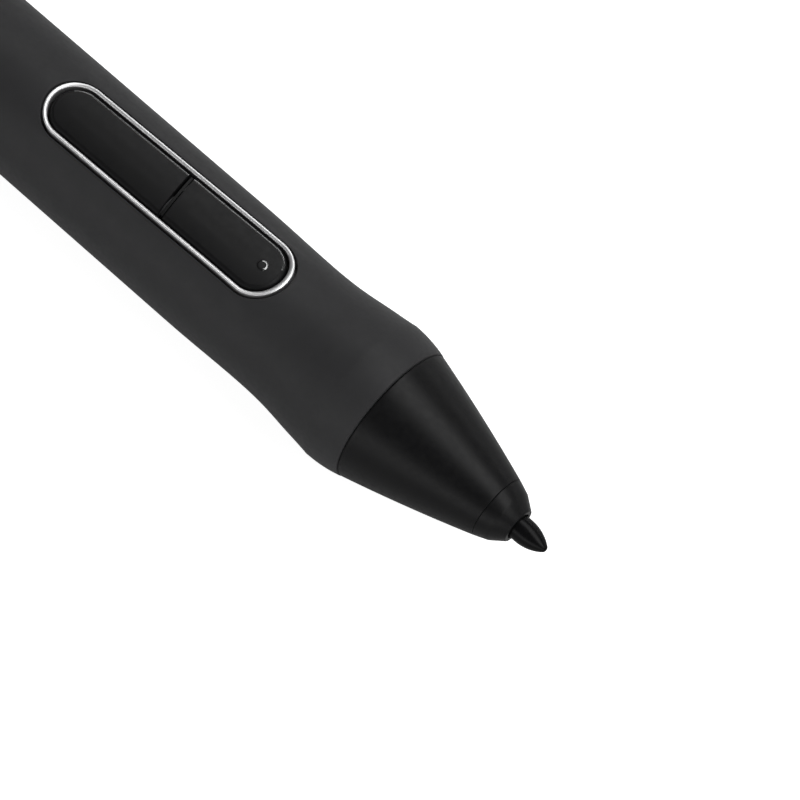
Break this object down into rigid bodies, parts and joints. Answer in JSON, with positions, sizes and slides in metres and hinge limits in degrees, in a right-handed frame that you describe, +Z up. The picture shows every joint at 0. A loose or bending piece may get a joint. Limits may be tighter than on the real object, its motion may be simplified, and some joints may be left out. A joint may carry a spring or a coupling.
{
  "type": "digital stylus",
  "caption": "Battery-free stylus for a pen display: round barrel with soft flared grip, two side keys in an oval bezel, a screw-on nose cone and a sprung, replaceable nib.",
  "frame": {"origin": "on the surface that the pen lies on, under the middle of its length", "axes": "+X along the barrel towards the nib, +Z up through the side keys, +Y to the left of the nib"},
  "size_m": [0.1624, 0.0142, 0.0142],
  "materials": {
    "nib": "gloss",
    "nose_plastic": "satin",
    "soft_grip": "matte",
    "bezel": "polished",
    "key_plastic": "satin",
    "barrel_plastic": "satin",
    "inner_plastic": "moulded",
    "board": "solder mask",
    "component": "moulded",
    "capacitor": "fired",
    "trimmer": "fired",
    "ferrite": "sintered",
    "copper": "enamelled",
    "spring_steel": "drawn",
    "sensor_ceramic": "fired",
    "soft_pad": "matte"
  },
  "bodies": {
    "root": {"barrel_core": "inner_plastic", "grip_sleeve": "soft_grip", "key_bezel": "bezel", "key_cradle": "inner_plastic", "rear_barrel": "barrel_plastic", "tail_cap": "barrel_plastic", "inner_chassis": "inner_plastic", "circuit_board": "board", "front_switch": "component", "rear_switch": "component", "tuning_trimmer": "trimmer", "board_capacitors": "capacitor", "control_chip": "component", "ferrite_core": "ferrite", "coil_bobbin": "inner_plastic", "coil_winding": "copper", "coil_leads": "copper", "core_ring": "soft_pad", "sensor_housing": "inner_plastic", "sensor_disc": "sensor_ceramic", "sensor_cap": "inner_plastic", "pressure_spring": "spring_steel", "tail_cushion": "soft_pad"},
    "nose": {"nose_cone": "nose_plastic", "tip_collar": "nose_plastic"},
    "nib_holder": {"nib_holder": "inner_plastic", "pressure_pad": "soft_pad"},
    "nib": {"nib": "nib"},
    "front_key": {"front_key": "key_plastic"},
    "rear_key": {"rear_key": "key_plastic"},
    "front_plunger": {"front_plunger": "inner_plastic"},
    "rear_plunger": {"rear_plunger": "inner_plastic"}
  },
  "joints": [
    {"name": "nose_unscrew", "type": "slide", "parent": "root", "child": "nose", "axis": [1, 0, 0], "range_m": [0, 0.024]},
    {"name": "nib_press", "type": "slide", "parent": "root", "child": "nib_holder", "axis": [-1, 0, 0], "range_m": [0, 0.0003], "stiffness_N_per_m": 3000, "springref_m": -0.0001, "deforming": ["pressure_spring"]},
    {"name": "nib_pull", "type": "slide", "parent": "nib_holder", "child": "nib", "axis": [1, 0, 0], "range_m": [0, 0.026]},
    {"name": "front_key_press", "type": "hinge", "parent": "root", "child": "front_key", "pos_m": [0.03926, 0, 0.01123], "axis": [0, 1, 0], "range_deg": [0, 2.6], "stiffness_Nm_per_rad": 0.12, "springref_deg": -1.72},
    {"name": "rear_key_press", "type": "hinge", "parent": "root", "child": "rear_key", "pos_m": [0.03774, 0, 0.01123], "axis": [0, -1, 0], "range_deg": [0, 2], "stiffness_Nm_per_rad": 0.16, "springref_deg": -1.72},
    {"name": "front_plunger_press", "type": "slide", "parent": "root", "child": "front_plunger", "axis": [0, 0, -1], "range_m": [0, 0.00025]},
    {"name": "rear_plunger_press", "type": "slide", "parent": "root", "child": "rear_plunger", "axis": [0, 0, -1], "range_m": [0, 0.00025]}
  ],
  "couplings": [
    {"joint": "front_plunger_press", "follows": "front_key_press", "m_per_rad": 0.005},
    {"joint": "rear_plunger_press", "follows": "rear_key_press", "m_per_rad": 0.007}
  ]
}
